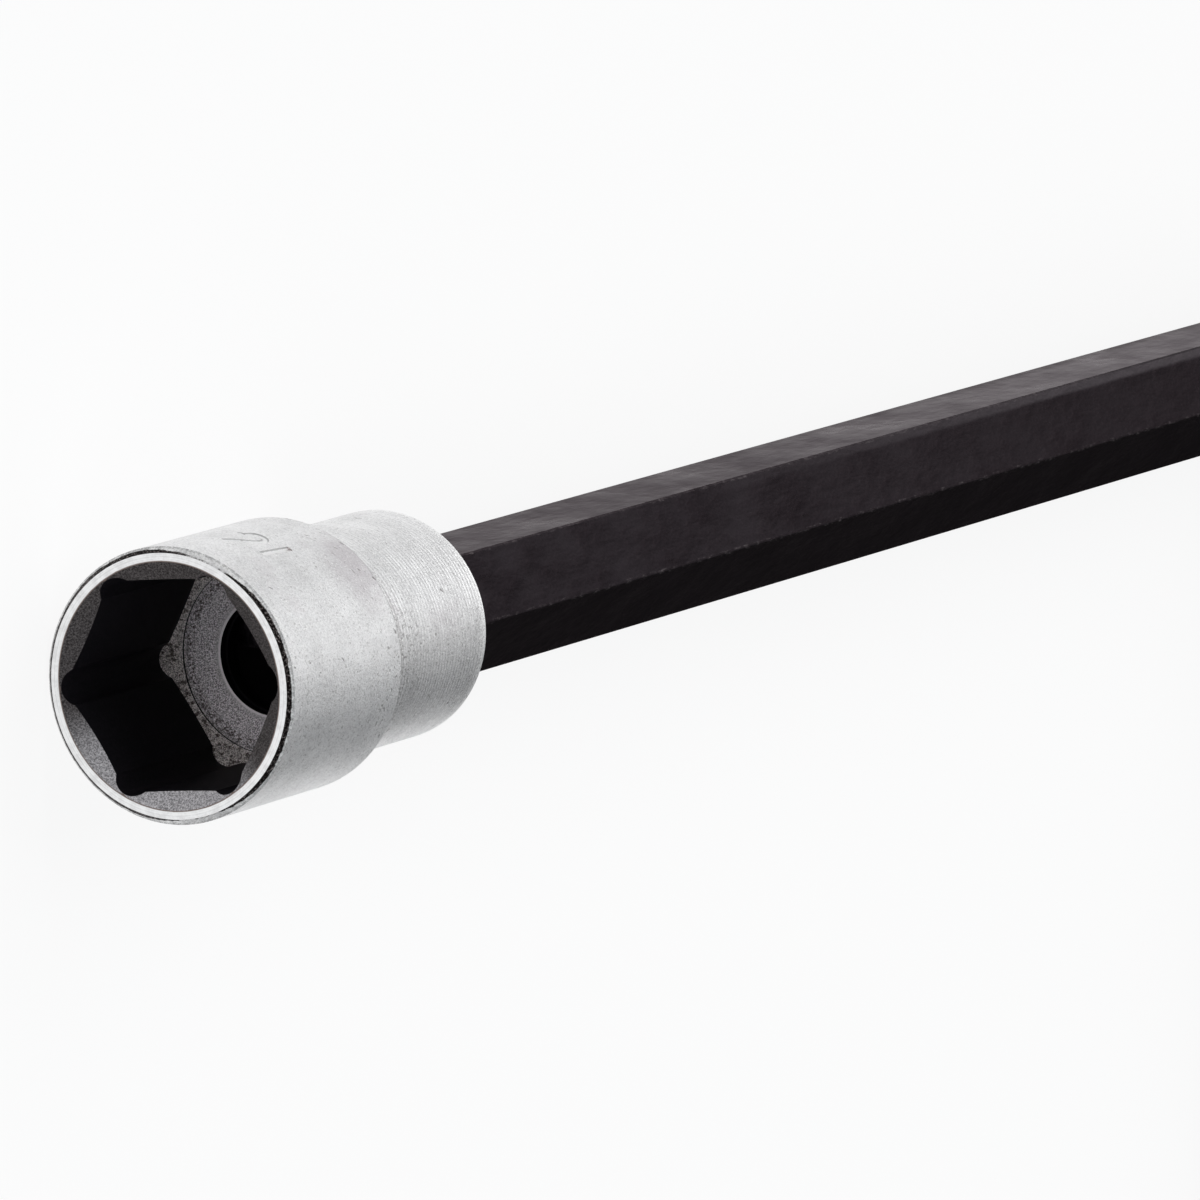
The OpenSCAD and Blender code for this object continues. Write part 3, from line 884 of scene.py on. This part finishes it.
def black_bar(name, turn):
    """Blackened drawn steel with faintly worn ridges, painted shade on its matt side and on one
    flat, and a painted sheen on another flat.
    """
    material, tree, shader = new_material(name)
    place = arm_coordinates(tree, turn)
    across = from_axis(tree, place)
    drawn = noise(tree, stretched(tree, place, (0.05, 2.0, 2.0)), 1.0, 3.0, 0.6)
    clouds = noise(tree, stretched(tree, place, (0.5, 1.0, 1.0)), 0.20, 4.0, 0.6)
    grain = noise(tree, place, 4.0, 2.0, 0.7)
    ridge = ramp(tree, across, BAR_RIDGE_R - 0.09, BAR_RIDGE_R - 0.02)
    lighter_share = ramp(tree, noise(tree, stretched(tree, place, (0.35, 1.0, 1.0)), 1.9, 4.0, 0.8),
                  0.50, 0.80)
    worn = times(tree, ridge, lighter_share)
    tone = plus(tree, times(tree, drawn, 0.15), times(tree, clouds, 0.85))
    speckled = plus(tree, times(tree, tone, 0.7), times(tree, grain, 0.3))
    black = mixed(tree, ramp(tree, speckled, 0.36, 0.66), BAR_DARK, BAR_LIGHT)
    # Painted shade on the matt side: it is darker as well as rougher.
    side = add_node(tree, "ShaderNodeSeparateXYZ", {0: place}).outputs["Y"]
    dull_shaded_side = ramp(tree, side, 0.05, -0.15)
    black = mixed(tree, dull_shaded_side, black, BAR_PAINTED_SHADE)
    # Towards the hub, a painted sheen on one flat and painted shade on the next.
    far = ramp(tree, along_arm(tree, place), FAR_FROM, FAR_TO)
    painted_sheen = times(tree, far, direction_share(tree, place, **SHEEN_FLAT))
    black = mixed(tree, painted_sheen, black, BAR_PAINTED_SHEEN)
    painted_flat_shade = times(tree, far, direction_share(tree, place, **SHADED_FLAT))
    black = mixed(tree, times(tree, painted_flat_shade, 0.5), black, BAR_PAINTED_SHADE)
    rough = plus(tree, ramp(tree, tone, 0.35, 0.65, 0.26, 0.40, smooth=False),
                 times(tree, dull_shaded_side, 0.45))
    waves = bumped(tree, clouds, 0.36)
    skin = bumped(tree, plus(tree, grain, times(tree, drawn, 0.4)), 0.010, onto=waves)
    set_inputs(tree, shader, {"Base Color": mixed(tree, worn, black, BAR_STEEL),
                              "Metallic": 1.0, "Specular Tint": BAR_SHEEN, "Roughness": rough,
                              "Normal": skin})
    return material


def finish_node(node, material):
    """Gives a CAD node its material."""
    mesh = nodes[node].data
    if not mesh.materials:
        mesh.materials.append(material)
    for i in range(len(mesh.materials)):
        mesh.materials[i] = material


main_black = black_bar("black steel, main bar", 0.0)
cross_black = black_bar("black steel, cross bar", math.radians(90))
for node in ("main_bar_21", "main_bar_19"):
    finish_node(node, main_black)
finish_node("cross_bar", cross_black)
finish_node("hub_block", hub_chrome)
finish_node("drive_head", drive_chrome)
print("bars, hub and drive head finished")

# %% [markdown]
# The small parts are plain hardware: bright steel balls and springs, spring pins with a dull
# oiled skin, and a blackened grub screw.

# %% Small hardware


def hardware_steel(name, dark, light, rough, scale):
    """Plain steel with faint variation."""
    material, tree, shader = new_material(name)
    place = arm_coordinates(tree, 0.0)
    tone = noise(tree, place, scale, 3.0, 0.6)
    colour = mixed(tree, ramp(tree, tone, 0.35, 0.65), grey(dark), grey(light))
    set_inputs(tree, shader, {"Base Color": colour, "Metallic": 1.0,
                              "Roughness": ramp(tree, tone, 0.3, 0.7, rough, rough + 0.12),
                              "Normal": bumped(tree, tone, 0.008)})
    return material


ball_steel = hardware_steel("polished ball steel", 0.55, 0.72, 0.12, 2.0)
spring_steel = hardware_steel("spring steel", 0.30, 0.50, 0.30, 6.0)
pin_steel = hardware_steel("oiled pin steel", 0.22, 0.42, 0.34, 4.0)
screw_steel = hardware_steel("blackened screw steel", 0.03, 0.07, 0.38, 5.0)
for node, material in (("drive_ball", ball_steel), ("detent_ball", ball_steel),
                       ("drive_spring", spring_steel), ("detent_spring", spring_steel),
                       ("hub_pin_21", pin_steel), ("hub_pin_19", pin_steel),
                       ("detent_screw", screw_steel)):
    finish_node(node, material)
print("hardware finished")

# %% [markdown]
# The photograph is a cut-out on white, lit from the top of the picture, which is the +Y side
# of the wrench. The floor here is plain white and large, and keeps a soft shadow from two
# large lamps. Where the camera or a mirroring surface sees it, it also glows, which makes the
# background nearly white without more light on the wrench.

# %% Floor and lamps
FLOOR_HALF = 20.0
FLOOR_GLOW = 0.87
FLOOR_ROUGH = 0.9
FLOOR_WHITE = grey(0.96)
LAMP_SIZE = 3.0


def make_floor():
    """A large plain sheet just under the wrench."""
    shape = bmesh.new()
    bmesh.ops.create_grid(shape, x_segments=1, y_segments=1, size=FLOOR_HALF)
    mesh = bpy.data.meshes.new("floor")
    shape.to_mesh(mesh)
    shape.free()
    floor = bpy.data.objects.new("floor", mesh)
    bpy.context.scene.collection.objects.link(floor)
    material, tree, shader = new_material("white floor")
    set_inputs(tree, shader, {"Base Color": FLOOR_WHITE, "Roughness": FLOOR_ROUGH})
    glow = add_node(tree, "ShaderNodeEmission", {"Color": grey(1.0), "Strength": 1.0})
    ray = add_node(tree, "ShaderNodeLightPath").outputs
    mirrored = larger(tree, ray["Is Glossy Ray"], ray["Is Transmission Ray"])
    seen = larger(tree, ray["Is Camera Ray"], mirrored)
    part = add_node(tree, "ShaderNodeMixShader", {0: times(tree, seen, FLOOR_GLOW),
                    1: shader.outputs[0], 2: glow.outputs[0]})
    tree.links.new(part.outputs[0], tree.nodes["Material Output"].inputs["Surface"])
    mesh.materials.append(material)


def make_lamp(name, place, power, colour):
    """A square soft lamp that faces the middle of the wrench."""
    data = bpy.data.lights.new(name, "AREA")
    data.shape = "SQUARE"
    data.size = LAMP_SIZE
    data.energy = power
    data.color = colour
    lamp = bpy.data.objects.new(name, data)
    bpy.context.scene.collection.objects.link(lamp)
    lamp.location = place
    lamp.rotation_euler = (-Vector(place)).to_track_quat("-Z", "Y").to_euler()


make_floor()
make_lamp("key lamp", (0.3, 1.8, 2.4), 44, (1.0, 1.0, 1.0))
make_lamp("fill lamp", (-1.5, -1.2, 2.4), 18, (0.88, 0.95, 1.0))
print(f"floor {2 * FLOOR_HALF:.0f} m wide, two lamps {LAMP_SIZE:.0f} m wide")

# %% [markdown]
# Metal shows its shape only where it has something darker to mirror, so the world is a soft
# studio of pale walls with dim gaps between them. The widest gap lies past the hub on the -Y
# side, where the photograph's was, and three smaller ones do the same for the other sides of
# the wrench. The wall past the hub is brighter than the rest, because the bar's flats mirror
# it at a low angle. The walls stay pale along the horizon and turn greyer overhead. A wall is
# found by the dot product of a direction with the wall's own.

# %% World
WALL_GAPS = [{"toward": (0.45, -0.89, 0.0), "edges": (0.32, 0.80), "depth": 1.0},
             {"toward": (0.86, 0.46, 0.20), "edges": (0.93, 0.99), "depth": 0.65},
             {"toward": (-0.17, 0.98, 0.0), "edges": (0.70, 0.94), "depth": 0.7},
             {"toward": (-0.98, -0.17, 0.0), "edges": (0.70, 0.94), "depth": 0.7}]
BRIGHT_SIDE = {"toward": (1.0, 0.0, 0.0), "edges": (0.45, 0.76), "others": 0.64}
HORIZON_FADE = (0.20, 0.05, 0.0, 1.0)
CEILING_FADE = (0.52, 0.90, 1.0, 0.40)
WORLD_DIM = (0.030, 0.038, 0.045, 1.0)
WORLD_BRIGHT = grey(1.08)


def side_ramp(tree, direction, side, to_low, to_high):
    """Changes from to_low to to_high where a direction comes near a side of the studio."""
    toward = vector_calc(tree, "DOT_PRODUCT", direction, side["toward"])["Value"]
    return ramp(tree, toward, *side["edges"], to_low, to_high)


def make_world():
    """Pale walls with dim gaps, pale along the horizon and greyer overhead."""
    world = bpy.data.worlds.new("studio")
    bpy.context.scene.world = world
    world.use_nodes = True
    tree = world.node_tree
    tree.nodes.clear()
    direction = add_node(tree, "ShaderNodeTexCoord").outputs["Generated"]
    low_walls = side_ramp(tree, direction, BRIGHT_SIDE, BRIGHT_SIDE["others"], 1.0)
    walls = low_walls
    for gap in WALL_GAPS:
        walls = times(tree, walls, side_ramp(tree, direction, gap, 1.0, 1.0 - gap["depth"]))
    height = add_node(tree, "ShaderNodeSeparateXYZ", {0: direction}).outputs["Z"]
    walls = times(tree, walls, ramp(tree, height, *CEILING_FADE))
    horizon = times(tree, low_walls, ramp(tree, height, *HORIZON_FADE))
    studio = mixed(tree, larger(tree, walls, horizon), WORLD_DIM, WORLD_BRIGHT)
    sky = add_node(tree, "ShaderNodeBackground", {"Color": studio, "Strength": 1.0})
    add_node(tree, "ShaderNodeOutputWorld", {"Surface": sky.outputs[0]})


make_world()
bpy.context.scene.view_settings.view_transform = "Standard"
print("studio ready,", len(WALL_GAPS), "gaps in its walls")
